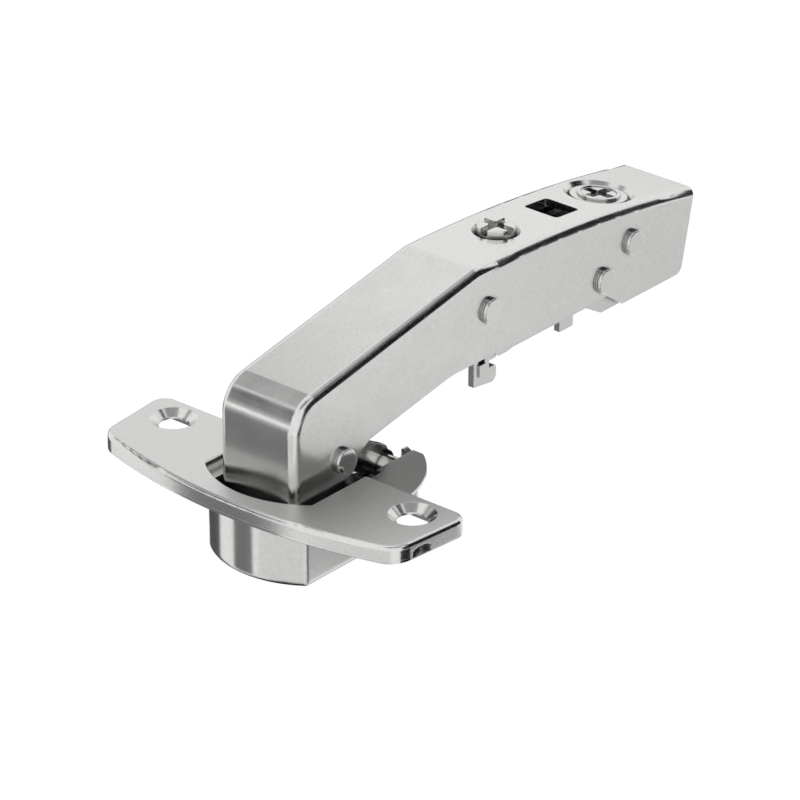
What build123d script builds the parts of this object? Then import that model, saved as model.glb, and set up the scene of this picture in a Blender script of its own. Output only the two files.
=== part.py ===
# Concealed cup hinge with a cranked arm, for a blind-corner cabinet door, shown closed.
# Millimetres. The origin is on the axis of the cup, in the plane of the door's face.
# +X points from the cup along the arm, +Z points out of the door, and the flange lies along Y.

from math import atan2, cos, degrees, hypot, radians, sin, sqrt

from build123d import *
import os

os.makedirs("parts", exist_ok=True)

# Cup, bored into the door
cup_diameter = 35.0
cup_depth = 12.4
cup_wall = 1.0
cup_floor = 1.0
cup_flat_width = 21.4
cup_bottom_radius = 0.5
rim_height = 0.5
rim_diameter = 37.2
rim_end = 15.2
pocket_step = 6.0
pocket_width = 17.0
back_notch_width = 11.3
back_notch_depth = 3.6
back_notch_corner = 0.8
cup_step_x = 5.0
cup_back_depth = 8.8
cup_back_floor = 0.75

# Flange, screwed to the door
flange_thickness = 3.0
flange_length = 67.2
flange_front = 21.5
flange_front_radius = 104.0
flange_end_taper = 4.2
flange_front_corner = 4.5
flange_back_corner = 2.7
flange_edge_radius = 0.8
flange_skin = 1.5
flange_rim = 1.7
opening_diameter = 35.6
opening_width = 23.0
opening_corner = 0.9
opening_edge = 0.5
screw_spacing = 52.0
screw_setback = 5.5
screw_hole = 5.2
screw_countersink = 8.1
screw_cone_depth = 1.15
end_notch_width = 4.0
end_notch_height = 1.6
end_notch_depth = 1.2
end_notch_sill = 0.25
end_notch_x = -10.9

# Pivots of the linkage, in the plane Y = 0
arm_pivot = (-2.05, 5.3)
outer_pivot_setback = 6.3
outer_pivot_depth = 1.7
inner_pivot_setback = 4.9
inner_pivot_depth = 5.6
nose_pivot = (-8.2, -1.5)
nose_eye = (-8.84, -1.22)

# Fits
running_gap = 0.05
side_gap = 0.1
nose_eye_play = 0.78

# Arm, a folded channel
arm_width = 16.4
arm_sheet = 1.3
arm_bend = 1.5
nose_front = -13.85
nose_bend = 6.4
nose_foot = -5.0
nose_foot_radius = 3.4
nose_chamfer = 1.0
web_start_height = 20.97
web_slope = 10.7
kink_x = 32.2
kink_radius = 4.0
arch_radius = 313.0
arm_end = 90.6
arm_rear_slant = 13.0
arm_rear_corner = 1.8
arm_low_edge = 6.7
arm_high_edge = 9.7
arm_step_top_x = 66.7
arm_step_bottom_x = 70.9
arm_belly_x = 25.5
arm_belly_rise = 0.5
arm_belly_radius = 16.0
arm_heel = (4.7, 6.5)
arm_heel_radius = 0.8
arm_eye_radius = 3.7
arm_eye_shoulder = 0.7

# Windows in the arm's web
side_screw_x = 46.6
side_screw_seat = 8.4
side_screw_hole = 5.0
window_x = 61.4
window_length = 6.2
window_width = 7.2
window_corner = 0.7
depth_screw_x = 74.3
depth_dish = 12.4
depth_hole = 10.8

# Rivets and pins
rivet_head = 4.5
rivet_head_height = 1.0
rivet_head_edge = 0.25
rivet_groove_height = 0.35
rivet_groove = 0.15
rivet_shank = 3.0
rivet_tail = 3.3
rivet_tail_height = 0.4
front_rivet = (35.1, 18.7)
middle_rivet = (65.6, 13.1)
rear_rivet = (73.3, 17.6)
stub_shank = 2.2
stub_shoulder = 4.0
cup_pin = 2.6
nose_pin_diameter = 2.4
blind_seat = 0.7

# Outer link
washer_thickness = 1.35
link_sheet = 1.3
link_eye_arm = 2.7
link_eye_cup = 2.7
link_half_height = 2.0
link_web_sheet = 1.1
link_web_start = 1.5
link_web_length = 5.0
link_lip = 0.3
brow_start = 7.6
brow_slope = 1.8
brow_height = 3.35
brow_end = 1.0
brow_nose = 0.4

# Inner link
spring_room = 2.0
link_inner_half = 1.6
inner_eye_cup = 2.3
inner_eye_nose = 2.95

# Closing spring, two coils on the inner cup pin
spring_wire = 0.6
spring_turns = 1.25
spring_radius = 1.95
spring_leg = 4.3

# Carriage, the inner channel that tilts in the arm
carriage_sheet = 1.2
carriage_drop = 2.8
carriage_front = 30.5
carriage_rear = 87.0
carriage_high_edge = 8.45
carriage_low_edge = 6.05
carriage_step_top_x = 62.6
carriage_step_bottom_x = 66.8
carriage_rear_foot_x = 84.9
carriage_corner = 1.2
lug_start = 39.0
lug_end = 43.2
lug_slant = 1.6
lug_drop = 0.3
tilt_range = 1.2

# Clip base, which slides in the carriage and clips on the mounting plate
base_sheet = 1.2
base_front = 33.0
base_rear = 84.0
base_gap = 1.25
base_edge = 9.3
base_corner = 1.0
hook_front = 34.4
hook_rear = 40.2
hook_bottom = 3.6
hook_tip = (38.9, 3.0)
hook_tip_rear = 40.25
hook_neck_rear = 38.4
hook_notch_low = 5.9
hook_notch_high = 7.2
hook_pad_x = 36.4
hook_pad_z = 6.25
hook_pad_length = 1.7
hook_pad_height = 2.2
hook_pad_proud = 0.35
hook_slot_height = 0.65
foot_front = 57.2
foot_rear = 60.8
foot_bottom = 5.5
slide_range = 2.0
base_slot_length = 12.4
base_slot_width = 8.4

# Screws
side_head = 6.6
side_head_height = 1.15
side_seat_depth = 0.95
side_collar = 7.2
side_collar_thickness = 0.7
side_shank = 4.0
side_shank_length = 7.2
side_slot_play = 0.2
cross_width = 1.5
cross_core = 2.7
cross_depth = 1.2
depth_flange = 10.0
depth_flange_thickness = 0.9
depth_flange_sink = 0.5
depth_head = 7.5
depth_head_height = 0.5
depth_head_rim = 0.55
depth_head_hollow = 0.2
depth_shoulder = 6.4
screw_tilt_play = 0.2
depth_shank = 4.6
cam_diameter = 7.8
cam_play = 0.05
cam_thickness = 1.0
depth_cross_length = 5.6
depth_cross_width = 1.7
depth_cross_depth = 1.2
circlip = 7.0
circlip_thickness = 0.6
circlip_mouth = 2.8

# Release lever at the rear of the clip base
lever_x = 78.6
lever_drop = 4.4
lever_side_gap = 0.2
lever_eye = 2.4
lever_pin_diameter = 2.2
lever_hook_reach = (-2.0, -6.3)
lever_thumb_reach = (8.0, -3.8)
lever_sheet = 2.2
lever_slot = 3.4
lever_spring_wire = 0.6
lever_spring_radius = 1.5
lever_spring_turns = 3

# Small rounds and spacers
hook_corner = 0.6
hook_tip_corner = 1.2
hook_top_corner = 0.5
side_head_edge = 0.2
spacer_diameter = 3.8

# Worked out from the sizes above
cup_radius = cup_diameter / 2
cup_pivot_outer = (cup_radius - outer_pivot_setback, -outer_pivot_depth)
cup_pivot_inner = (cup_radius - inner_pivot_setback, -inner_pivot_depth)
arm_half = arm_width / 2
arm_inner_half = arm_half - arm_sheet
carriage_half = arm_inner_half - side_gap
carriage_inner_half = carriage_half - carriage_sheet
base_half = carriage_inner_half - side_gap
base_inner_half = base_half - base_sheet
link_half = arm_inner_half - washer_thickness - running_gap
link_inner_face = link_half - link_sheet
link_inner_width = 2 * (link_inner_face - spring_room)
lever_width = 2 * (base_inner_half - lever_side_gap)
cup_inner_half = cup_flat_width / 2 - cup_wall
pocket_half = pocket_width / 2
web_tangent = sin(radians(web_slope)) / cos(radians(web_slope))
kink_top = web_start_height + kink_x * web_tangent


def web_top(x):
    """Height of the arm's top surface, on the straight web or on the arch behind the kink."""
    if x < kink_x:
        return web_start_height + x * web_tangent
    return kink_top - (x - kink_x) ** 2 / (2 * arch_radius)


def web_plane(x):
    """Plane on the arm's top surface behind the kink, with its normal pointing out of the web."""
    fall = (x - kink_x) / arch_radius
    return Plane(origin=(x, 0, web_top(x)), x_dir=(1, 0, -fall), z_dir=(fall, 0, 1))


def carriage_top(x):
    """Height of the carriage's top surface."""
    share = (x - carriage_front) / (carriage_rear - carriage_front)
    return carriage_front_top + share * (carriage_rear_top - carriage_front_top)


def side_plane(y):
    """Plane across the hinge at a given Y, with X to the right and Z up."""
    return Plane(origin=(0, y, 0), x_dir=(1, 0, 0), z_dir=(0, -1, 0))


def eye_band(start, start_radius, end, end_radius, half):
    """Outline of a flat link: two eyes and a band of constant width between their centres."""
    length = hypot(end[0] - start[0], end[1] - start[1])
    turn = degrees(atan2(end[1] - start[1], end[0] - start[0]))
    middle = ((start[0] + end[0]) / 2, (start[1] + end[1]) / 2)
    with Locations(start):
        Circle(start_radius)
    with Locations(end):
        Circle(end_radius)
    with Locations(middle):
        Rectangle(length, 2 * half, rotation=turn)


# Heights that hang from the arm's top surface
carriage_front_top = web_top(carriage_front) - carriage_drop
carriage_rear_top = web_top(carriage_rear) - carriage_drop
base_top = carriage_rear_top - carriage_sheet - base_gap
shoulder_depth = web_top(depth_screw_x) - carriage_top(depth_screw_x) - screw_tilt_play
circlip_depth = web_top(depth_screw_x) - carriage_top(depth_screw_x) + carriage_sheet + screw_tilt_play
cam_depth = web_top(depth_screw_x) - base_top + cam_play
cam_centre_x = depth_screw_x - (cam_depth + cam_thickness / 2) * (depth_screw_x - kink_x) / arch_radius
lever_pivot = (lever_x, base_top - lever_drop)
lever_hook = (lever_pivot[0] + lever_hook_reach[0], lever_pivot[1] + lever_hook_reach[1])
lever_thumb = (lever_pivot[0] + lever_thumb_reach[0], lever_pivot[1] + lever_thumb_reach[1])


# Cup and flange, one casting
with BuildPart() as hinge_cup:
    with BuildSketch(Plane.XY.offset(-cup_depth)):
        Circle(cup_radius)
        Rectangle(cup_diameter, cup_flat_width, mode=Mode.INTERSECT)
    extrude(amount=cup_depth)
    # The floor is higher under the link pins
    with BuildSketch(Plane.XY.offset(-cup_depth)):
        with Locations((cup_step_x + cup_radius, 0)):
            Rectangle(cup_diameter, cup_diameter)
    extrude(amount=cup_depth - cup_back_depth, mode=Mode.SUBTRACT)
    fillet(hinge_cup.edges().group_by(Axis.Z)[0], radius=cup_bottom_radius)
    # Rim that lies on the door behind the flange
    with BuildSketch(Plane.XY):
        Circle(rim_diameter / 2)
        with Locations((cup_radius, 0)):
            Rectangle(cup_diameter, pocket_width, mode=Mode.SUBTRACT)
        with Locations((rim_end + cup_radius, 0)):
            Rectangle(cup_diameter, 2 * cup_diameter, mode=Mode.SUBTRACT)
    extrude(amount=rim_height)
    # Flange with its bowed front edge
    with BuildSketch(Plane.XY) as flange_sketch:
        end_y = flange_length / 2
        taper_y = end_y - flange_front * sin(radians(flange_end_taper))
        bow_x = -flange_front + flange_front_radius - sqrt(flange_front_radius**2 - taper_y**2)
        with BuildLine():
            Line((0, -end_y), (0, end_y))
            Line((0, end_y), (bow_x, taper_y))
            ThreePointArc((bow_x, taper_y), (-flange_front, 0), (bow_x, -taper_y))
            Line((bow_x, -taper_y), (0, -end_y))
        make_face()
        corners = flange_sketch.vertices().group_by(Axis.X)
        fillet(corners[-1], radius=flange_back_corner)
        fillet(flange_sketch.vertices().group_by(Axis.X)[0], radius=flange_front_corner)
    extrude(amount=flange_thickness)
    top_edges = hinge_cup.faces().sort_by(Axis.Z)[-1].outer_wire().edges()
    fillet(top_edges, radius=flange_edge_radius)
    # Hollow underside of each ear
    with BuildSketch(Plane.XY) as ear_pockets:
        add(flange_sketch.sketch)
        offset(amount=-flange_rim)
        Rectangle(3 * flange_front, rim_diameter, mode=Mode.SUBTRACT)
    extrude(amount=flange_thickness - flange_skin, mode=Mode.SUBTRACT)
    # Arched recess in each end wall, measured from the tapered wall
    taper_at_notch = -end_notch_x * sin(radians(flange_end_taper))
    for end in (-1, 1):
        with BuildSketch(Plane.XZ.offset(end * flange_length / 2)):
            with Locations((end_notch_x, end_notch_sill + end_notch_height / 4)):
                Rectangle(end_notch_width, end_notch_height / 2)
            with Locations((end_notch_x, end_notch_sill + end_notch_height / 2)):
                Ellipse(end_notch_width / 2, end_notch_height / 2)
        extrude(amount=-end * (end_notch_depth + taper_at_notch), mode=Mode.SUBTRACT)
    # Opening through the flange
    with BuildSketch(Plane.XY.offset(rim_height)):
        Circle(opening_diameter / 2)
        with Locations((-opening_diameter / 2, 0)):
            Rectangle(opening_diameter, opening_width, mode=Mode.INTERSECT)
    extrude(amount=flange_thickness, mode=Mode.SUBTRACT)
    rim_opening = hinge_cup.edges().group_by(Axis.Z)[-1].filter_by(
        lambda edge: hypot(edge.center().X, edge.center().Y) < opening_diameter / 2 + opening_corner
        and abs(edge.center().Y) < opening_width / 2 + opening_corner
        and edge.center().X < -opening_corner
    )
    fillet(rim_opening, radius=opening_edge)
    # Inside of the cup: wide and deep at the front, narrower and shallower between the pins at the back
    with BuildSketch(Plane.XY.offset(cup_floor - cup_depth)):
        Circle(cup_radius - cup_wall)
        with Locations((cup_step_x - cup_wall - cup_diameter / 2, 0)):
            Rectangle(cup_diameter, 2 * cup_inner_half, mode=Mode.INTERSECT)
    extrude(amount=2 * cup_depth, mode=Mode.SUBTRACT)
    with BuildSketch(Plane.XY.offset(cup_back_floor - cup_back_depth)):
        Circle(cup_radius - cup_wall)
        with Locations((pocket_step - cup_diameter / 2, 0)):
            Rectangle(cup_diameter, 2 * cup_inner_half, mode=Mode.INTERSECT)
    extrude(amount=2 * cup_depth, mode=Mode.SUBTRACT)
    with BuildSketch(Plane.XY.offset(cup_back_floor - cup_back_depth)):
        Circle(cup_radius - cup_wall)
        with Locations((cup_diameter / 2, 0)):
            Rectangle(cup_diameter, pocket_width, mode=Mode.INTERSECT)
    extrude(amount=2 * cup_depth, mode=Mode.SUBTRACT)
    # Notch in the back wall, where the links swing out
    with BuildSketch(Plane.XY.offset(-back_notch_depth)):
        with Locations((cup_radius, 0)):
            Rectangle(cup_radius, back_notch_width)
    extrude(amount=2 * back_notch_depth, mode=Mode.SUBTRACT)
    notch_corners = hinge_cup.edges().filter_by(
        lambda edge: abs(edge.center().Z) < side_gap
        and abs(abs(edge.center().Y) - back_notch_width / 2) < side_gap
        and edge.center().X > cup_radius / 2
    )
    fillet(notch_corners, radius=back_notch_corner)
    # Countersunk screw holes
    with Locations(Plane.XY.offset(flange_thickness)):
        with Locations((-screw_setback, screw_spacing / 2), (-screw_setback, -screw_spacing / 2)):
            CounterSinkHole(
                screw_hole / 2,
                screw_countersink / 2,
                2 * flange_thickness,
                2 * degrees(atan2((screw_countersink - screw_hole) / 2, screw_cone_depth)),
            )
    # Seats of the cup pins in the side walls
    with BuildSketch(Plane.XZ):
        with Locations(cup_pivot_outer):
            Circle(stub_shank / 2)
        with Locations(cup_pivot_inner):
            Circle(cup_pin / 2)
    extrude(amount=cup_inner_half, both=True, mode=Mode.SUBTRACT)

# Outer link: two side plates with a raised brow over the cup's pivot, and a web between them
with BuildPart() as outer_link:
    link_turn = degrees(atan2(cup_pivot_outer[1] - arm_pivot[1], cup_pivot_outer[0] - arm_pivot[0]))
    link_length = hypot(cup_pivot_outer[0] - arm_pivot[0], cup_pivot_outer[1] - arm_pivot[1])
    # The link's own plane: its origin is the cup's pivot, and its X runs on from the arm's pivot
    link_plane = Plane(
        origin=(cup_pivot_outer[0], -link_inner_face, cup_pivot_outer[1]),
        x_dir=(cos(radians(link_turn)), 0, sin(radians(link_turn))),
        z_dir=(0, -1, 0),
    )
    with BuildSketch(link_plane):
        Circle(link_eye_cup)
        with Locations((-link_length, 0)):
            Circle(link_eye_arm)
        with Locations((-link_length / 2, 0)):
            Rectangle(link_length, 2 * link_half_height)
        with BuildLine():
            Polyline(
                (-brow_start, 0),
                (-brow_start, link_half_height),
                (brow_slope - brow_start, brow_height),
                (-brow_end, brow_height),
                (brow_nose, brow_height - brow_end),
                (link_eye_cup * 0.8, link_eye_cup * 0.6),
                (0, 0),
                close=True,
            )
        make_face()
    extrude(amount=link_sheet)
    # Folded lip inside the brow
    with BuildSketch(link_plane):
        with Locations(((brow_slope - brow_start - brow_end) / 2, brow_height - link_sheet / 2)):
            Rectangle(brow_start - brow_slope - brow_end, link_sheet)
    extrude(amount=-link_lip)
    mirror(about=Plane.XZ)
    # Web across, near the arm's pivot
    with BuildSketch(Plane(origin=(cup_pivot_outer[0], 0, cup_pivot_outer[1]), x_dir=link_plane.x_dir, z_dir=(0, -1, 0))):
        with Locations((-link_length + link_web_start + link_web_length / 2, link_half_height - link_web_sheet / 2)):
            Rectangle(link_web_length, link_web_sheet)
    extrude(amount=link_inner_face + link_sheet / 2, both=True)
    with BuildSketch(Plane.XZ):
        with Locations(arm_pivot):
            Circle(rivet_shank / 2 + running_gap)
        with Locations(cup_pivot_outer):
            Circle(stub_shank / 2 + running_gap)
    extrude(amount=arm_width, both=True, mode=Mode.SUBTRACT)

# Inner link, one solid bar between the nose pin and the inner cup pin
with BuildPart() as inner_link:
    with BuildSketch(Plane.XZ):
        eye_band(nose_eye, inner_eye_nose, cup_pivot_inner, inner_eye_cup, link_inner_half)
    extrude(amount=link_inner_width / 2, both=True)
    with BuildSketch(Plane.XZ):
        with Locations(nose_eye):
            Circle(nose_pin_diameter / 2 + nose_eye_play)
        with Locations(cup_pivot_inner):
            Circle(cup_pin / 2 + running_gap)
    extrude(amount=link_inner_width, both=True, mode=Mode.SUBTRACT)

# Arm, a folded sheet channel
with BuildPart() as hinge_arm:
    rear_top = (arm_end, web_top(arm_end))
    rear_foot_x = arm_end - (rear_top[1] - arm_low_edge) * sin(radians(arm_rear_slant))
    nose_top = (nose_front, web_top(nose_front))
    eye_back = (arm_pivot[0] + arm_eye_radius, arm_pivot[1] - arm_eye_shoulder)
    eye_low = (arm_pivot[0] + arm_eye_radius / 3, arm_pivot[1] - arm_eye_radius)
    with BuildSketch(Plane.XZ) as arm_side:
        with BuildLine():
            Line(nose_top, (kink_x, kink_top))
            ThreePointArc((kink_x, kink_top), ((kink_x + arm_end) / 2, web_top((kink_x + arm_end) / 2)), rear_top)
            Polyline(
                rear_top,
                (rear_foot_x, arm_low_edge),
                (arm_step_bottom_x, arm_low_edge),
                (arm_step_top_x, arm_high_edge),
                (arm_belly_x, arm_high_edge + arm_belly_rise),
                arm_heel,
                eye_back,
            )
            ThreePointArc(
                eye_back,
                (arm_pivot[0] + arm_eye_radius * 0.8, arm_pivot[1] - arm_eye_radius * 0.75),
                eye_low,
            )
            Polyline(
                eye_low,
                (nose_pivot[0] + nose_foot_radius, nose_pivot[1]),
                (nose_pivot[0] + nose_foot_radius * 0.6, nose_foot),
                (nose_front + nose_chamfer, nose_foot),
                (nose_front, nose_foot + nose_chamfer),
                nose_top,
            )
        make_face()
        fillet(arm_side.vertices().sort_by_distance((*nose_top, 0))[0], radius=nose_bend)
        fillet(arm_side.vertices().sort_by_distance((kink_x, kink_top, 0))[0], radius=kink_radius)
        fillet(arm_side.vertices().sort_by_distance((rear_foot_x, arm_low_edge, 0))[0], radius=arm_rear_corner)
        fillet(arm_side.vertices().sort_by_distance((arm_belly_x, arm_high_edge, 0))[0], radius=arm_belly_radius)
        fillet(arm_side.vertices().sort_by_distance((*arm_heel, 0))[0], radius=arm_heel_radius)
    extrude(amount=arm_half, both=True)
    # Rounded folds between the web and the walls
    folds = hinge_arm.edges().filter_by(
        lambda edge: abs(abs(edge.center().Y) - arm_half) < 0.01
        and edge.center().Z > nose_foot + nose_chamfer
        and (edge.center().X < nose_front + nose_bend or edge.center().Z > web_top(edge.center().X) - arm_bend)
    )
    fillet(folds, radius=arm_bend)
    # Inside of the channel, open below and behind
    with BuildSketch(Plane.XZ) as arm_inside:
        under = arm_sheet / cos(radians(web_slope))
        inner_nose = (nose_front + arm_sheet, web_top(nose_front + arm_sheet) - under)
        inner_kink = (kink_x, kink_top - under)
        inner_rear = (arm_end + arm_sheet, web_top(arm_end + arm_sheet) - under)
        inner_middle = ((kink_x + arm_end) / 2, web_top((kink_x + arm_end) / 2) - arm_sheet)
        with BuildLine():
            Polyline(
                inner_rear,
                (inner_rear[0], 2 * nose_foot),
                (inner_nose[0], 2 * nose_foot),
                inner_nose,
                inner_kink,
            )
            ThreePointArc(inner_kink, inner_middle, inner_rear)
        make_face()
        fillet(arm_inside.vertices().sort_by_distance((*inner_nose, 0))[0], radius=nose_bend - arm_sheet)
    extrude(amount=arm_inner_half, both=True, mode=Mode.SUBTRACT)
    # Screw seats and the window in the web
    with Locations(web_plane(side_screw_x)):
        CounterSinkHole(side_screw_hole / 2, side_screw_seat / 2, 2 * arm_sheet)
    with Locations(web_plane(depth_screw_x)):
        CounterSinkHole(depth_hole / 2, depth_dish / 2, 2 * arm_sheet)
    with BuildSketch(web_plane(window_x)):
        RectangleRounded(window_length, window_width, window_corner)
    extrude(amount=2 * arm_sheet, both=True, mode=Mode.SUBTRACT)
    # Rivet holes, and blind seats for the nose pin
    with BuildSketch(Plane.XZ):
        with Locations(arm_pivot, front_rivet, middle_rivet, rear_rivet):
            Circle(rivet_shank / 2)
    extrude(amount=arm_width, both=True, mode=Mode.SUBTRACT)
    with BuildSketch(Plane.XZ):
        with Locations(nose_pivot):
            Circle(nose_pin_diameter / 2)
    extrude(amount=arm_inner_half + blind_seat, both=True, mode=Mode.SUBTRACT)

# Rivets of the arm's lower pivot, one on each side
with BuildPart() as arm_rivets:
    with BuildSketch(side_plane(-arm_half)):
        with Locations(arm_pivot):
            Circle(rivet_head / 2)
    extrude(amount=rivet_head_height)
    fillet(arm_rivets.edges().group_by(Axis.Y)[0], radius=rivet_head_edge)
    with BuildSketch(side_plane(-arm_half - rivet_groove_height)):
        with Locations(arm_pivot):
            Circle(rivet_head / 2)
            Circle(rivet_head / 2 - rivet_groove, mode=Mode.SUBTRACT)
    extrude(amount=rivet_groove, mode=Mode.SUBTRACT)
    with BuildSketch(side_plane(-link_inner_face + side_gap)):
        with Locations(arm_pivot):
            Circle(rivet_shank / 2)
    extrude(amount=arm_half - link_inner_face + side_gap)
    with BuildSketch(side_plane(-link_inner_face + side_gap + rivet_tail_height)):
        with Locations(arm_pivot):
            Circle(rivet_tail / 2)
    extrude(amount=rivet_tail_height)
    mirror(about=Plane.XZ)

# Washers that hold the outer link off the arm's walls
with BuildPart() as arm_washers:
    with BuildSketch(side_plane(-link_half - running_gap)):
        with Locations(arm_pivot):
            Circle(link_eye_arm)
            Circle(rivet_shank / 2, mode=Mode.SUBTRACT)
    extrude(amount=washer_thickness)
    mirror(about=Plane.XZ)

# Pin across the nose, seated in both walls
with BuildPart() as nose_pin:
    with BuildSketch(Plane.XZ):
        with Locations(nose_pivot):
            Circle(nose_pin_diameter / 2)
    extrude(amount=arm_inner_half + blind_seat, both=True)

# Spacer tubes that centre the inner link on the nose pin
with BuildPart() as nose_spacers:
    with BuildSketch(side_plane(-link_inner_width / 2 - side_gap)):
        with Locations(nose_pivot):
            Circle(spacer_diameter / 2)
            Circle(nose_pin_diameter / 2, mode=Mode.SUBTRACT)
    extrude(amount=arm_inner_half - link_inner_width / 2 - side_gap)
    mirror(about=Plane.XZ)

# Shouldered pins of the outer link, pressed into the cup's side walls
with BuildPart() as outer_cup_pins:
    with BuildSketch(side_plane(-link_inner_face + side_gap)):
        with Locations(cup_pivot_outer):
            Circle(stub_shank / 2)
    extrude(amount=cup_inner_half - link_inner_face + side_gap)
    with BuildSketch(side_plane(-link_half - running_gap)):
        with Locations(cup_pivot_outer):
            Circle(stub_shoulder / 2)
    extrude(amount=pocket_half - link_half - running_gap)
    mirror(about=Plane.XZ)

# Pin of the inner link, across the cup
with BuildPart() as inner_cup_pin:
    with BuildSketch(Plane.XZ):
        with Locations(cup_pivot_inner):
            Circle(cup_pin / 2)
    extrude(amount=cup_inner_half, both=True)

# Closing springs, a short coil on each side of the inner link
with BuildPart() as closing_springs:
    coil_start = link_inner_width / 2 + running_gap + spring_wire / 2
    coil_pitch = spring_wire * 1.04
    with BuildLine() as coil:
        turns = Helix(
            pitch=coil_pitch,
            height=spring_turns * coil_pitch,
            radius=spring_radius,
            center=(cup_pivot_inner[0], -coil_start, cup_pivot_inner[1]),
            direction=(0, -1, 0),
        )
        leg_start = turns @ 0
        leg_end = turns @ 1
        Line(leg_start, leg_start - (turns % 0) * spring_leg)
        Line(leg_end, leg_end + (turns % 1) * spring_leg)
    with BuildSketch(Plane(origin=leg_start - (turns % 0) * spring_leg, z_dir=turns % 0)):
        Circle(spring_wire / 2)
    sweep(path=coil.wires()[0])
    mirror(about=Plane.XZ)

# Rivets through the arm's and the carriage's walls, one pair at each place
rivet_pairs = []
for rivet_name, rivet_place in (
    ("front_rivets", front_rivet),
    ("middle_rivets", middle_rivet),
    ("rear_rivets", rear_rivet),
):
    with BuildPart() as rivet_pair:
        with BuildSketch(side_plane(-arm_half)):
            with Locations(rivet_place):
                Circle(rivet_head / 2)
        extrude(amount=rivet_head_height)
        fillet(rivet_pair.edges().group_by(Axis.Y)[0], radius=rivet_head_edge)
        with BuildSketch(side_plane(-arm_half - rivet_groove_height)):
            with Locations(rivet_place):
                Circle(rivet_head / 2)
                Circle(rivet_head / 2 - rivet_groove, mode=Mode.SUBTRACT)
        extrude(amount=rivet_groove, mode=Mode.SUBTRACT)
        with BuildSketch(side_plane(-carriage_inner_half)):
            with Locations(rivet_place):
                Circle(rivet_shank / 2)
        extrude(amount=arm_half - carriage_inner_half)
        mirror(about=Plane.XZ)
    rivet_pairs.append((rivet_name, rivet_pair))

# Carriage, a folded channel that tilts inside the arm
with BuildPart() as adjuster_carriage:
    with BuildSketch(Plane.XZ) as carriage_side:
        with BuildLine():
            Polyline(
                (carriage_front, carriage_front_top),
                (carriage_rear, carriage_rear_top),
                (carriage_rear_foot_x, carriage_low_edge),
                (carriage_step_bottom_x, carriage_low_edge),
                (carriage_step_top_x, carriage_high_edge),
                (lug_end, carriage_high_edge),
                (lug_end - lug_slant, carriage_high_edge - lug_drop),
                (lug_start + lug_drop, carriage_high_edge - lug_drop),
                (lug_start, carriage_high_edge),
                (carriage_front, carriage_high_edge),
                close=True,
            )
        make_face()
        fillet(carriage_side.vertices().group_by(Axis.X)[0], radius=carriage_corner)
    extrude(amount=carriage_half, both=True)
    carriage_folds = adjuster_carriage.edges().filter_by(
        lambda edge: abs(abs(edge.center().Y) - carriage_half) < 0.01 and edge.length > lug_end
    )
    fillet(carriage_folds.group_by(Axis.Z)[-1], radius=carriage_corner)
    inside_front = carriage_front - carriage_sheet
    inside_rear = carriage_rear + carriage_sheet
    with BuildSketch(Plane.XZ):
        with BuildLine():
            Polyline(
                (inside_front, carriage_top(inside_front) - carriage_sheet),
                (inside_rear, carriage_top(inside_rear) - carriage_sheet),
                (inside_rear, 0),
                (inside_front, 0),
                close=True,
            )
        make_face()
    extrude(amount=carriage_inner_half, both=True, mode=Mode.SUBTRACT)
    # Pivot hole at the rear rivet, play for the tilt at the other two
    with BuildSketch(Plane.XZ):
        with Locations(rear_rivet):
            Circle(rivet_shank / 2 + running_gap)
        for loose in (front_rivet, middle_rivet):
            swing = (rear_rivet[0] - loose[0]) * sin(radians(tilt_range)) + side_gap
            with Locations(loose):
                SlotOverall(rivet_shank + 2 * side_gap + 2 * swing, rivet_shank + 2 * side_gap, rotation=90)
    extrude(amount=arm_width, both=True, mode=Mode.SUBTRACT)
    # Screw holes, each along its own screw
    with BuildSketch(web_plane(side_screw_x)):
        SlotOverall(side_shank + 2 * running_gap + side_slot_play, side_shank + 2 * running_gap)
    extrude(amount=-2 * side_shank_length, mode=Mode.SUBTRACT)
    with BuildSketch(web_plane(depth_screw_x)):
        Circle(depth_shank / 2 + running_gap)
    extrude(amount=-2 * side_shank_length, mode=Mode.SUBTRACT)

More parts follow.
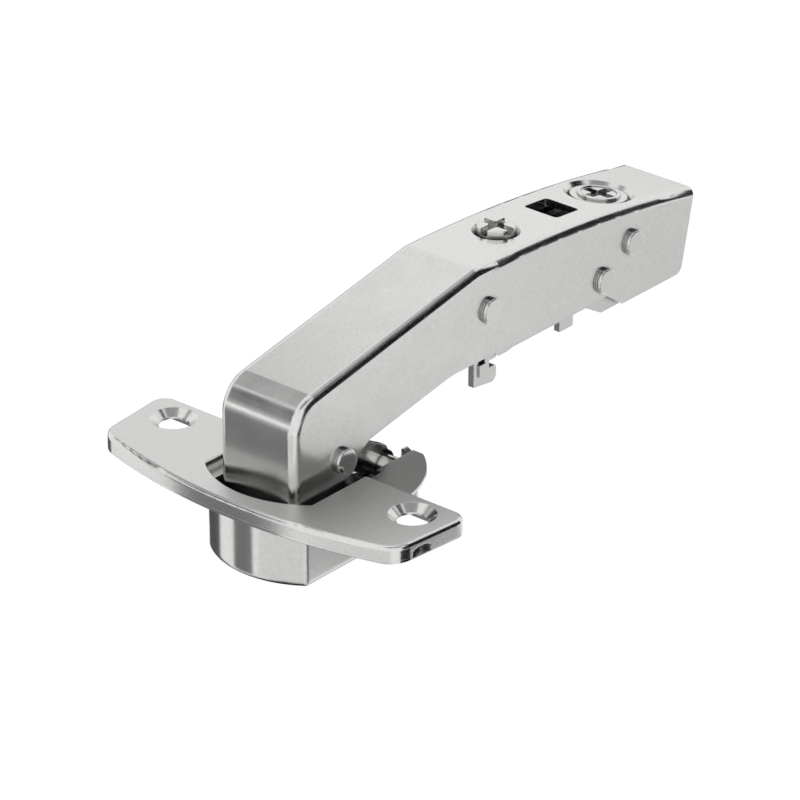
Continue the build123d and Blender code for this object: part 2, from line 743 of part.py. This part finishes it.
# Clip base, a folded channel with two hooks and two feet
with BuildPart() as clip_base:
    with BuildSketch(Plane.XZ) as base_side:
        with BuildLine():
            Polyline(
                (base_front, base_top),
                (base_rear, base_top),
                (base_rear, base_edge),
                (foot_rear, base_edge),
                (foot_rear, foot_bottom),
                (foot_front, foot_bottom),
                (foot_front, base_edge),
                (hook_rear, base_edge),
                (hook_rear, hook_notch_high),
                (hook_neck_rear, hook_notch_high),
                (hook_neck_rear, hook_notch_low),
                (hook_tip_rear, hook_notch_low),
                (hook_tip_rear, hook_tip[1]),
                hook_tip,
                (hook_front, hook_bottom),
                (hook_front, base_edge),
                (base_front, base_edge),
                close=True,
            )
        make_face()
        fillet(base_side.vertices().sort_by_distance((hook_tip_rear, hook_tip[1], 0))[0], radius=hook_tip_corner)
        hook_top_corners = base_side.vertices().sort_by_distance((hook_tip_rear, hook_notch_low, 0))
        fillet(hook_top_corners[0], radius=hook_top_corner)
        foot_corners = base_side.vertices().filter_by(lambda corner: abs(corner.Z - foot_bottom) < 0.01)
        fillet(foot_corners, radius=hook_corner)
    extrude(amount=base_half, both=True)
    base_folds = clip_base.edges().filter_by(
        lambda edge: abs(abs(edge.center().Y) - base_half) < 0.01 and abs(edge.center().Z - base_top) < 0.01
    )
    fillet(base_folds, radius=base_corner)
    with BuildSketch(Plane.XZ):
        with Locations(((base_front + base_rear) / 2, (base_top - base_sheet) / 2)):
            Rectangle(2 * base_rear, base_top - base_sheet)
    extrude(amount=base_inner_half, both=True, mode=Mode.SUBTRACT)
    # Pressed-out pad on each hook, with its slot above
    for side in (-1, 1):
        with BuildSketch(Plane.XZ.offset(side * base_half)):
            with Locations((hook_pad_x, hook_pad_z)):
                Rectangle(hook_pad_length, hook_pad_height)
        extrude(amount=side * hook_pad_proud)
    with BuildSketch(Plane.XZ):
        with Locations((hook_pad_x, hook_pad_z + (hook_pad_height + hook_slot_height) / 2)):
            Rectangle(hook_pad_length, hook_slot_height)
        with Locations(lever_pivot):
            Circle(lever_pin_diameter / 2)
    extrude(amount=base_half, both=True, mode=Mode.SUBTRACT)
    # Long slot for the cam of the depth screw
    with BuildSketch(Plane.XY.offset(base_top)):
        with Locations((cam_centre_x, 0)):
            Rectangle(base_slot_length, base_slot_width)
    extrude(amount=-2 * base_sheet, mode=Mode.SUBTRACT)

# Side adjusting screw, held in the arm and threaded into the carriage
with BuildPart() as side_adjusting_screw:
    side_axis = web_plane(side_screw_x)
    with BuildSketch(side_axis.offset(-side_seat_depth)):
        Circle(side_head / 2)
    extrude(amount=side_seat_depth + side_head_height)
    fillet(side_adjusting_screw.edges().group_by(Axis.Z)[-1], radius=side_head_edge)
    with BuildSketch(side_axis.offset(-side_seat_depth)):
        Circle(side_shank / 2)
    extrude(amount=-side_shank_length)
    with BuildSketch(side_axis.offset(-arm_sheet - running_gap)):
        Circle(side_collar / 2)
    extrude(amount=-side_collar_thickness)
    with BuildSketch(side_axis.offset(side_head_height)):
        Rectangle(side_head, cross_width)
        Rectangle(cross_width, side_head)
        Circle(cross_core / 2)
    extrude(amount=-cross_depth, mode=Mode.SUBTRACT)

# Depth adjusting screw, held in the carriage, with its cam in the clip base
with BuildPart() as depth_adjusting_screw:
    depth_axis = web_plane(depth_screw_x)
    with BuildSketch(depth_axis.offset(-depth_flange_sink)):
        Circle(depth_flange / 2)
    extrude(amount=-depth_flange_thickness)
    with BuildSketch(depth_axis.offset(-depth_flange_sink)):
        Circle(depth_head / 2)
    extrude(amount=depth_head_height)
    fillet(depth_adjusting_screw.edges().group_by(Axis.Z)[-1], radius=side_head_edge)
    with BuildSketch(depth_axis.offset(-depth_flange_sink - depth_flange_thickness)):
        Circle(depth_shoulder / 2)
    extrude(amount=depth_flange_sink + depth_flange_thickness - shoulder_depth)
    with BuildSketch(depth_axis.offset(-shoulder_depth)):
        Circle(depth_shank / 2)
    extrude(amount=shoulder_depth - cam_depth)
    with BuildSketch(depth_axis.offset(-cam_depth)):
        Circle(cam_diameter / 2)
    extrude(amount=-cam_thickness)
    with BuildSketch(depth_axis.offset(depth_head_height - depth_flange_sink)):
        Circle(depth_head / 2 - depth_head_rim)
    extrude(amount=-depth_head_hollow, mode=Mode.SUBTRACT)
    with BuildSketch(depth_axis.offset(depth_head_height - depth_flange_sink)):
        Rectangle(depth_cross_length, depth_cross_width)
        Rectangle(depth_cross_width, depth_cross_length)
        Circle(cross_core / 2)
    extrude(amount=-depth_cross_depth, mode=Mode.SUBTRACT)

# Circlip on the depth screw, under the carriage's web
with BuildPart() as screw_circlip:
    with BuildSketch(depth_axis.offset(-circlip_depth)):
        Circle(circlip / 2)
        Circle(depth_shank / 2, mode=Mode.SUBTRACT)
        with Locations((circlip / 2, 0)):
            Rectangle(circlip, circlip_mouth, mode=Mode.SUBTRACT)
    extrude(amount=-circlip_thickness)

# Release lever between the clip base's walls
with BuildPart() as release_lever:
    with BuildSketch(Plane.XZ):
        eye_band(lever_pivot, lever_eye, lever_hook, lever_sheet / 2, lever_sheet / 2)
        eye_band(lever_pivot, lever_eye, lever_thumb, lever_sheet / 2, lever_sheet / 2)
    extrude(amount=lever_width / 2, both=True)
    with BuildSketch(Plane.XZ):
        with Locations(lever_pivot):
            Circle(lever_pin_diameter / 2 + running_gap)
    extrude(amount=lever_width, both=True, mode=Mode.SUBTRACT)
    with BuildSketch(Plane.XZ):
        with Locations(lever_pivot):
            Circle(lever_eye + side_gap)
    extrude(amount=lever_slot / 2, both=True, mode=Mode.SUBTRACT)

# Pin of the release lever
with BuildPart() as lever_pin:
    with BuildSketch(Plane.XZ):
        with Locations(lever_pivot):
            Circle(lever_pin_diameter / 2)
    extrude(amount=base_half, both=True)

# Spring of the release lever, coiled round its pin
with BuildPart() as lever_spring:
    lever_pitch = lever_spring_wire * 1.05
    lever_coil_length = lever_spring_turns * lever_pitch
    with BuildLine() as lever_coil:
        lever_turns = Helix(
            pitch=lever_pitch,
            height=lever_coil_length,
            radius=lever_spring_radius,
            center=(lever_pivot[0], lever_coil_length / 2, lever_pivot[1]),
            direction=(0, -1, 0),
        )
    with BuildSketch(Plane(origin=lever_turns @ 0, z_dir=lever_turns % 0)):
        Circle(lever_spring_wire / 2)
    sweep(path=lever_coil.wires()[0])

pieces = {
    "hinge_cup": hinge_cup,
    "outer_link": outer_link,
    "inner_link": inner_link,
    "hinge_arm": hinge_arm,
    "arm_rivets": arm_rivets,
    "arm_washers": arm_washers,
    "nose_pin": nose_pin,
    "nose_spacers": nose_spacers,
    "outer_cup_pins": outer_cup_pins,
    "inner_cup_pin": inner_cup_pin,
    "closing_springs": closing_springs,
    "adjuster_carriage": adjuster_carriage,
    "clip_base": clip_base,
    "side_adjusting_screw": side_adjusting_screw,
    "depth_adjusting_screw": depth_adjusting_screw,
    "screw_circlip": screw_circlip,
    "release_lever": release_lever,
    "lever_pin": lever_pin,
    "lever_spring": lever_spring,
    **dict(rivet_pairs),
}
for name, piece in pieces.items():
    piece.part.label = name
    export_step(piece.part, f"parts/{name}.step")
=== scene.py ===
# %% [markdown]
# # A concealed cup hinge in nickel-plated steel
#
# The hinge is almost all sheet metal, so its shape comes ready from the CAD model. What Blender
# adds is the plating, the small marks of stamping and polishing, and a studio for the metal to
# reflect. A shiny part shows little colour of its own: it shows its surroundings, so most of this
# lesson is about what stands round the hinge.

# %% Load the hinge
import bpy
import bmesh
from math import radians, sin, cos
from mathutils import Matrix, Vector

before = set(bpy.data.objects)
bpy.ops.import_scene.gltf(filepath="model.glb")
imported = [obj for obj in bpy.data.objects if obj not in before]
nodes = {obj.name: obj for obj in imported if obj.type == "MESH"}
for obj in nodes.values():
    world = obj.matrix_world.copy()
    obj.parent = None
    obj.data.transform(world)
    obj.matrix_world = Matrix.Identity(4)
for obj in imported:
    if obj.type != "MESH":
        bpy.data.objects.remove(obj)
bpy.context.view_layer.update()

# %% [markdown]
# ## The camera
#
# The photograph was taken from far away with a long lens, so its parallel edges stay almost
# parallel. The camera stands where the edges of the flange, the cup and the arm all line up with
# the picture: nearly 0.9 m off, turned 49.5 degrees round the hinge and 27 degrees above it. The
# picture's tones are shown as they are rendered, because a filmic curve would grey the white.

# %% Where the camera stands
camera_turn = radians(49.49)
camera_rise = radians(26.84)
camera_distance = 0.8785
camera_aside = 0.01419
camera_up = 0.01140

to_camera = Vector((-sin(camera_turn) * cos(camera_rise),
                    -cos(camera_turn) * cos(camera_rise),
                    sin(camera_rise)))
picture_right = (-to_camera).cross(Vector((0, 0, 1))).normalized()
picture_up = picture_right.cross(-to_camera)
camera_place = picture_right * camera_aside + picture_up * camera_up + to_camera * camera_distance
print("camera at:", [round(value, 3) for value in camera_place])

# %% Camera
picture_width = 800
focal_pixels = 5356

camera_data = bpy.data.cameras.new("camera")
camera_data.sensor_width = 36
camera_data.lens = camera_data.sensor_width * focal_pixels / picture_width
camera_data.clip_start = 0.01
camera_data.clip_end = 20
camera = bpy.data.objects.new("camera", camera_data)
bpy.context.scene.collection.objects.link(camera)
camera_axes = Matrix((picture_right, picture_up, to_camera)).transposed().to_4x4()
camera.matrix_world = Matrix.Translation(camera_place) @ camera_axes
bpy.context.scene.camera = camera
bpy.context.scene.view_settings.view_transform = "Standard"
print("lens in mm:", round(camera_data.lens, 1))

# %% [markdown]
# ## Nickel plating
#
# The real parts are stamped or cast, tumbled until they are smooth, and then plated with a thin
# layer of bright nickel. The plating is a metal with a faintly warm grey, and it isn't a perfect
# mirror: fine tumbling marks blur what it reflects, and tiny dents give it a grain. An image could
# be wrapped round each piece, but noise in a piece's own space needs no unwrapping and stays on
# the piece when it moves. Each finish has two: a broad noise that makes some areas a little
# duller, and a fine one for the grain.

# %% Helpers for node trees
def maths(tree, operation, *values):
    """A Math node. Each value is a number, or a socket that it is linked to."""
    node = tree.nodes.new("ShaderNodeMath")
    node.operation = operation
    for socket, value in zip(node.inputs, values):
        if isinstance(value, (int, float)):
            socket.default_value = value
        else:
            tree.links.new(value, socket)
    return node.outputs["Value"]


def noise(tree, place, scale, detail):
    """Noise in the piece's own space."""
    texture = tree.nodes.new("ShaderNodeTexNoise")
    texture.inputs["Scale"].default_value = scale
    texture.inputs["Detail"].default_value = detail
    tree.links.new(place, texture.inputs["Vector"])
    return texture.outputs["Fac"]


def ramp(tree, value, start, end, start_colour, end_colour=(1, 1, 1)):
    """Goes from one colour to another while a value goes from start to end."""
    colours = tree.nodes.new("ShaderNodeValToRGB")
    first, last = colours.color_ramp.elements
    first.position, last.position = start, end
    first.color, last.color = (*start_colour, 1), (*end_colour, 1)
    tree.links.new(value, colours.inputs["Fac"])
    return colours.outputs["Color"]


print("helpers: maths, noise, ramp")

# %% [markdown]
# ## How dull each part is
#
# The tumbled faces of the cast cup aren't all alike. The flat top of its flange is a soft satin,
# the low rim behind it is nearly as dull, and the flank round the flange is brighter. The casting
# is one piece, and a material slot for each face would be fiddly. Its faces lie at different
# heights, so a Compare node finds each band of height, and the roughness is raised inside it.

# %% Roughness
noise_low, noise_high = 0.3, 0.7
brightest_share, dullest_share = 0.85, 1.2

def uneven_roughness(tree, broad, roughness, height, bands):
    """Roughness that drifts over a piece. A band is a middle height, half its height, a roughness."""
    drift = tree.nodes.new("ShaderNodeMapRange")
    drift.inputs["From Min"].default_value = noise_low
    drift.inputs["From Max"].default_value = noise_high
    drift.inputs["To Min"].default_value = roughness * brightest_share
    drift.inputs["To Max"].default_value = roughness * dullest_share
    tree.links.new(broad, drift.inputs["Value"])
    dullness = drift.outputs["Result"]
    for middle, reach, band_roughness in bands:
        inside = maths(tree, "COMPARE", height, middle, reach)
        raised = maths(tree, "MULTIPLY", inside, band_roughness)
        dullness = maths(tree, "MAXIMUM", dullness, raised)
    return dullness


print("roughness drifts between", brightest_share, "and", dullest_share, "of its own")

# %% [markdown]
# ## Painted shade in corners, and rounded edges
#
# Two small things make metal look real. Where faces meet inwards, as round a rivet's head, little
# light gets in, so an ambient occlusion node darkens the colour there: this is painted shade. And
# no stamped edge is knife-sharp. Rounding every edge in the mesh would change the CAD shape, so a
# Bevel node only bends the normals beside the edges, and they catch thin bright and dark lines.
# The cast cup below the flange is rounder than the sheet, so its lines are wider.

# %% Painted corner shade
# Painted shade: the colour darkens to this grey within this reach of an inward corner.
painted_shade_reach = 0.0014
painted_shade_tone = (0.17, 0.17, 0.17)
deepest_light, open_light = 0.22, 0.8

def painted_corner_shade(tree, colour):
    """Paints shade into a colour where faces meet inwards."""
    corner = tree.nodes.new("ShaderNodeAmbientOcclusion")
    corner.samples = 8
    corner.inputs["Distance"].default_value = painted_shade_reach
    shade = ramp(tree, corner.outputs["AO"], deepest_light, open_light, painted_shade_tone)
    shaded = tree.nodes.new("ShaderNodeMix")
    shaded.data_type = "RGBA"
    shaded.blend_type = "MULTIPLY"
    shaded.inputs["Factor"].default_value = 1.0
    tree.links.new(colour, shaded.inputs["A"])
    tree.links.new(shade, shaded.inputs["B"])
    return shaded.outputs["Result"]


print("corners darken within mm:", 1000 * painted_shade_reach)

# %% Rounded edges
edge_radius = 0.00015

def rounded_edges(tree, height, round_band):
    """Normals that bend round the edges, further in a band: middle height, half height, extra radius."""
    edge = tree.nodes.new("ShaderNodeBevel")
    edge.samples = 4
    edge.inputs["Radius"].default_value = edge_radius
    if round_band:
        middle, reach, extra = round_band
        edge.samples = 8
        inside = maths(tree, "COMPARE", height, middle, reach)
        radius = maths(tree, "MULTIPLY_ADD", inside, extra, edge_radius)
        tree.links.new(radius, edge.inputs["Radius"])
    return edge.outputs["Normal"]


print("edges look rounded by mm:", 1000 * edge_radius)

# %% [markdown]
# ## One finish from its parts
#
# A plated finish is a Principled shader with full Metallic. The broad noise and the bands set its
# roughness, the fine noise speckles its colour and gives it a very low relief, and the painted
# corner shade and the rounded edges come on top. Sheet, casting and small parts differ only in
# their numbers, so one function makes them all.

# %% Plated finish
broad_share = 0.09
broad_detail, fine_detail = 4.0, 3.0
speckle = 0.06
speckle_start, speckle_end = 0.3, 0.62
relief_strength = 0.02
relief_share = 0.3

def plated_finish(name, colour, roughness, grain, bands=(), round_band=None):
    """A nickel-plated metal, with fine marks that are grain metres apart."""
    finish = bpy.data.materials.new(name)
    finish.use_nodes = True
    tree = finish.node_tree
    shader = tree.nodes["Principled BSDF"]
    shader.inputs["Metallic"].default_value = 1.0
    shader.inputs["Specular IOR Level"].default_value = 0.5

    place = tree.nodes.new("ShaderNodeTexCoord").outputs["Object"]
    broad = noise(tree, place, broad_share / grain, broad_detail)
    fine = noise(tree, place, 1.0 / grain, fine_detail)
    split = tree.nodes.new("ShaderNodeSeparateXYZ")
    tree.links.new(place, split.inputs["Vector"])
    height = split.outputs["Z"]
    dullness = uneven_roughness(tree, broad, roughness, height, bands)
    tree.links.new(dullness, shader.inputs["Roughness"])

    darker = [share * (1 - speckle) for share in colour]
    tone = ramp(tree, fine, speckle_start, speckle_end, darker, colour)
    # Painted shade darkens the speckled colour in inward corners.
    tree.links.new(painted_corner_shade(tree, tone), shader.inputs["Base Color"])

    relief = tree.nodes.new("ShaderNodeBump")
    relief.inputs["Strength"].default_value = relief_strength
    relief.inputs["Distance"].default_value = grain * relief_share
    tree.links.new(rounded_edges(tree, height, round_band), relief.inputs["Normal"])
    tree.links.new(fine, relief.inputs["Height"])
    tree.links.new(relief.outputs["Normal"], shader.inputs["Normal"])
    return finish


print("relief strength:", relief_strength)

# %% [markdown]
# ## The finishes
#
# The arm is stamped sheet with a soft shine. The cup is a smoother casting, with bands for its
# rim, its flank and its flange's top. The links and the pieces inside the arm get a darker copy of
# the nickel, painted shade for the shade inside the arm.
# The rivets' heads are nearly mirrors, the screws and pins have finer marks, and the springs are
# plain steel wire, so they are darker and duller.

# %% Finishes
nickel = (0.74, 0.735, 0.725)
# A darker copy of the nickel: painted shade for the links and the pieces inside the arm.
nickel_painted_shade = (0.7, 0.695, 0.685)
bare_steel = (0.5, 0.495, 0.49)

# Middle height and half height in metres, then the roughness, or the extra radius of the edges.
rim_band = (0.0005, 0.00003, 0.4)
flank_band = (0.00176, 0.0012, 0.18)
top_band = (0.003, 0.00003, 0.48)
round_cup = (-0.0067, 0.0062, 0.001)

plated_sheet = plated_finish("plated_sheet", nickel, 0.2, 0.0005)
plated_casting = plated_finish("plated_casting", nickel, 0.13, 0.0006,
                               bands=(rim_band, flank_band, top_band), round_band=round_cup)
# The same nickel made darker, as painted shade inside the arm.
plated_inner_painted_shade = plated_finish("plated_inner_painted_shade", nickel_painted_shade, 0.15, 0.0005)
plated_small = plated_finish("plated_small", nickel, 0.2, 0.0003)
plated_rivets = plated_finish("plated_rivets", nickel, 0.09, 0.0003)
spring_steel = plated_finish("spring_steel", bare_steel, 0.28, 0.0002)
print("finishes:", [finish.name for finish in bpy.data.materials])

# %% Finishes on the pieces
def give(finish, *names):
    """Puts a finish on CAD nodes, in every material slot they have."""
    for name in names:
        mesh = nodes[name].data
        if not mesh.materials:
            mesh.materials.append(finish)
        for index in range(len(mesh.materials)):
            mesh.materials[index] = finish
    print(finish.name, "on", len(names), "pieces")


give(plated_sheet, "hinge_arm")
give(plated_casting, "hinge_cup")
give(plated_inner_painted_shade, "outer_link", "inner_link", "adjuster_carriage", "clip_base", "release_lever")
give(plated_rivets, "arm_rivets", "front_rivets", "middle_rivets", "rear_rivets")
give(plated_small, "arm_washers", "nose_pin", "nose_spacers", "outer_cup_pins", "inner_cup_pin",
     "lever_pin", "side_adjusting_screw", "depth_adjusting_screw", "screw_circlip")
give(spring_steel, "closing_springs", "lever_spring")

# %% [markdown]
# ## The studio
#
# The picture has a pure white background with no visible table edge. A wide white floor and a
# white world give that, and they are also what the flat walls of the arm reflect. The world shows
# white to the camera and in reflections, and lights everything else at a plain level.

# %% World
room_light = 0.8

world = bpy.data.worlds.new("white_room")
bpy.context.scene.world = world
world.use_nodes = True
room = world.node_tree
room.nodes.clear()
rays = room.nodes.new("ShaderNodeLightPath").outputs
seen = maths(room, "MAXIMUM", rays["Is Camera Ray"], rays["Is Glossy Ray"])
seen = maths(room, "MAXIMUM", seen, rays["Is Transmission Ray"])
plain_light = room.nodes.new("ShaderNodeBackground")
plain_light.inputs["Color"].default_value = (1, 1, 1, 1)
plain_light.inputs["Strength"].default_value = room_light
white_wall = room.nodes.new("ShaderNodeBackground")
white_wall.inputs["Color"].default_value = (1, 1, 1, 1)
white_wall.inputs["Strength"].default_value = 1.0
choice = room.nodes.new("ShaderNodeMixShader")
world_out = room.nodes.new("ShaderNodeOutputWorld")
room.links.new(seen, choice.inputs["Fac"])
room.links.new(plain_light.outputs["Background"], choice.inputs[1])
room.links.new(white_wall.outputs["Background"], choice.inputs[2])
room.links.new(choice.outputs["Shader"], world_out.inputs["Surface"])
print("world:", world.name, "light", room_light)

# %% [markdown]
# ## Cards and flags
#
# A bright metal part photographed in an all-white room looks flat, so a studio puts grey and
# black cards out of the picture, where the bends of the sheet pick them up as dark lines. Each
# card here is a plain sheet that faces the hinge, some of them graded from one side to the other.
# It emits its own grey, so its tone doesn't depend on the lamps, and only reflections can see it:
# it hides nothing from the camera and throws no shadow.

# %% A card's sheet
def card_sheet(name, centre, across, upward, width, tall):
    """A flat sheet round centre, with across and upward along its sides."""
    sheet = bmesh.new()
    bmesh.ops.create_grid(sheet, x_segments=1, y_segments=1, size=0.5)
    bmesh.ops.scale(sheet, vec=(width, tall, 1), verts=sheet.verts)
    turned = Matrix((across, upward, across.cross(upward))).transposed().to_4x4()
    turned.translation = centre
    bmesh.ops.transform(sheet, matrix=turned, verts=sheet.verts)
    mesh = bpy.data.meshes.new(name)
    sheet.to_mesh(mesh)
    sheet.free()
    return mesh


print("helper: card_sheet")

# %% A card's glow
def card_glow(name, across, centre, width, level, end_level):
    """Light that goes from level at one side of a card to end_level at the other."""
    tone = bpy.data.materials.new(name)
    tone.use_nodes = True
    tree = tone.node_tree
    tree.nodes.clear()
    glow = tree.nodes.new("ShaderNodeEmission")
    out = tree.nodes.new("ShaderNodeOutputMaterial")
    tree.links.new(glow.outputs["Emission"], out.inputs["Surface"])
    place = tree.nodes.new("ShaderNodeTexCoord")
    along = tree.nodes.new("ShaderNodeVectorMath")
    along.operation = "DOT_PRODUCT"
    along.inputs[1].default_value = across
    tree.links.new(place.outputs["Object"], along.inputs[0])
    grade = tree.nodes.new("ShaderNodeMapRange")
    grade.inputs["From Min"].default_value = centre.dot(across) - width / 2
    grade.inputs["From Max"].default_value = centre.dot(across) + width / 2
    grade.inputs["To Min"].default_value = level
    grade.inputs["To Max"].default_value = end_level
    tree.links.new(along.outputs["Value"], grade.inputs["Value"])
    tree.links.new(grade.outputs["Result"], glow.inputs["Strength"])
    return tone


print("helper: card_glow")

# %% A whole card
def card(name, compass, height, distance, width, tall, level, end_level=None, aim=(0, 0, 0)):
    """A sheet that faces aim: compass turns from +Y towards +X, height rises from the horizon."""
    bearing, lift = radians(compass), radians(height)
    away = Vector((sin(bearing) * cos(lift), cos(bearing) * cos(lift), sin(lift)))
    across = away.cross(Vector((0, 0, 1))).normalized()
    upward = across.cross(away)
    centre = Vector(aim) + away * distance
    mesh = card_sheet(name, centre, across, upward, width, tall)
    last_level = level if end_level is None else end_level
    mesh.materials.append(card_glow(name, across, centre, width, level, last_level))
    obj = bpy.data.objects.new(name, mesh)
    bpy.context.scene.collection.objects.link(obj)
    obj.visible_camera = False
    obj.visible_diffuse = False
    obj.visible_shadow = False
    obj.visible_transmission = False
    print(name, "at", compass, height)


print("helper: card")

# %% [markdown]
# ## Where the cards go
#
# Where each card goes comes from mirror directions. The camera looks down on the hinge, so the
# vertical walls reflect what is low, below the table's edge, and the top reflects what is behind
# the hinge and above. The fold between the web and the near wall sweeps from one to the other, and
# picks up a grey strip of ceiling and then a tall black flag on the right, which draws the dark
# line that runs along the arm. A small dark card above the flag lengthens that line on the arched
# part. A dark card low behind the hinge draws the thin dark outlines on the far edges, and a small
# light grey one above it softens the step to the white room.
#
# A card's numbers are its compass bearing and height in degrees, its distance, width and height
# in metres, and its brightness, where 1 is white.

# %% Cards on the right, above and behind
far = 1.2

card("black_flag_high", 146, 17, far, 1.6, 1.2, 0.012)
card("black_flag_top", 133, 52, far, 0.3, 0.36, 0.05)
card("black_flag_low", 166, -30, far, 0.9, 0.75, 0.02)
card("grey_ceiling_right", 92, 63, far, 0.62, 0.3, 0.5)
card("grey_ceiling", 5, 50, far, 1.0, 0.34, 0.4)
card("grey_overhead", 205, 73, far, 0.9, 0.62, 0.35)
card("dark_behind", 48, -14, 1.3, 1.3, 0.7, 0.06)
card("grey_behind", 56, 9, 1.35, 0.4, 0.12, 0.84)

# %% [markdown]
# The near wall reflects a sheet of white paper that lies close by, low on the right. It is graded,
# so the wall is light near the nose and falls off to the rear, and a darker sheet below it greys
# the flat of the cup.

# %% Paper beside the near wall
wall_middle = (0.045, -0.008, 0.015)

card("wall_paper", 131.7, -24.9, 0.3, 0.15, 0.072, 0.62, 1.05, aim=wall_middle)
card("cup_paper", 133, -34, 0.31, 0.16, 0.036, 0.42, 0.5, aim=wall_middle)

# %% [markdown]
# The nose of the arm is a bend too, from the web down to the front wall. It shows the left side of
# the studio from top to bottom: a dark card, lighter steps below it, a white strip that becomes the
# bright line across the nose, and another dark card that the whole front wall reflects.

# %% Cards for the nose
card("dark_card_left", -43, 37, far, 0.5, 0.3, 0.15)
card("grey_step_high", -52, 24, far, 0.5, 0.24, 0.22)
card("grey_step_low", -53, 14, far, 0.5, 0.2, 0.42)
card("white_strip", -54, 5, far, 0.5, 0.2, 1.15)
card("grey_step_down", -54, -3.5, far, 0.5, 0.16, 0.45)
card("dark_front", -48, -24, far, 0.5, 0.72, 0.2)

# %% [markdown]
# The round wall of the cup sweeps past low cards on the left. A white one and a dark one draw its
# upright stripes, and a grey one fills the side beyond them. The darkest lies almost under the
# hinge, where only the rounded lower edges see it, and draws the cup's dark bottom outline.

# %% Cards for the cup
card("white_low", -23, -27, far, 0.34, 0.6, 0.98)
card("dark_low", 10, -30, far, 0.72, 0.7, 0.1)
card("dark_below", -49, -74, far, 1.9, 0.9, 0.03)
card("grey_low_left", -100, -27, 1.25, 1.3, 0.7, 0.8)

# %% [markdown]
# ## The floor
#
# The floor is a large white sheet just under the cup. To the camera it is mostly plain white, and
# a little of its own shading is mixed in, which keeps a soft shadow where the hinge stands. The
# metal doesn't see it, so the low cards can stand below it.

# %% Floor
floor_height = -0.01245
floor_reach = 3

floor_sheet = bmesh.new()
bmesh.ops.create_grid(floor_sheet, x_segments=1, y_segments=1, size=floor_reach)
bmesh.ops.translate(floor_sheet, vec=(0, 0, floor_height), verts=floor_sheet.verts)
floor_mesh = bpy.data.meshes.new("floor")
floor_sheet.to_mesh(floor_mesh)
floor_sheet.free()
floor = bpy.data.objects.new("floor", floor_mesh)
bpy.context.scene.collection.objects.link(floor)
floor.visible_glossy = False
print("floor at", floor_height)

# %% White paper for the floor
plain_white_share = 0.94

paper = bpy.data.materials.new("white_paper")
paper.use_nodes = True
sheet_tree = paper.node_tree
sheet_tree.nodes.clear()
matt = sheet_tree.nodes.new("ShaderNodeBsdfDiffuse")
matt.inputs["Color"].default_value = (0.95, 0.95, 0.95, 1)
bright = sheet_tree.nodes.new("ShaderNodeEmission")
bright.inputs["Strength"].default_value = 1.04
floor_rays = sheet_tree.nodes.new("ShaderNodeLightPath")
share = maths(sheet_tree, "MULTIPLY", floor_rays.outputs["Is Camera Ray"], plain_white_share)
paper_mix = sheet_tree.nodes.new("ShaderNodeMixShader")
paper_out = sheet_tree.nodes.new("ShaderNodeOutputMaterial")
sheet_tree.links.new(share, paper_mix.inputs["Fac"])
sheet_tree.links.new(matt.outputs["BSDF"], paper_mix.inputs[1])
sheet_tree.links.new(bright.outputs["Emission"], paper_mix.inputs[2])
sheet_tree.links.new(paper_mix.outputs["Shader"], paper_out.inputs["Surface"])
floor_mesh.materials.append(paper)
print("paper:", paper.name, "plain white share", plain_white_share)

# %% [markdown]
# ## One soft lamp
#
# The cards do most of the work on metal. A single large lamp from above gives the floor its soft
# shadow.

# %% Lamp
lamp_place = Vector((0.5, 0.6, 1.2))
lamp_width = 0.9

lamp_data = bpy.data.lights.new("soft_lamp", "AREA")
lamp_data.shape = "RECTANGLE"
lamp_data.size = lamp_width
lamp_data.size_y = lamp_width
lamp_data.energy = 3.0
lamp = bpy.data.objects.new("soft_lamp", lamp_data)
lamp_turn = lamp_place.to_track_quat("Z", "Y").to_matrix().to_4x4()
lamp.matrix_world = Matrix.Translation(lamp_place) @ lamp_turn
lamp.visible_glossy = False
bpy.context.scene.collection.objects.link(lamp)
print("lamp energy:", lamp_data.energy)
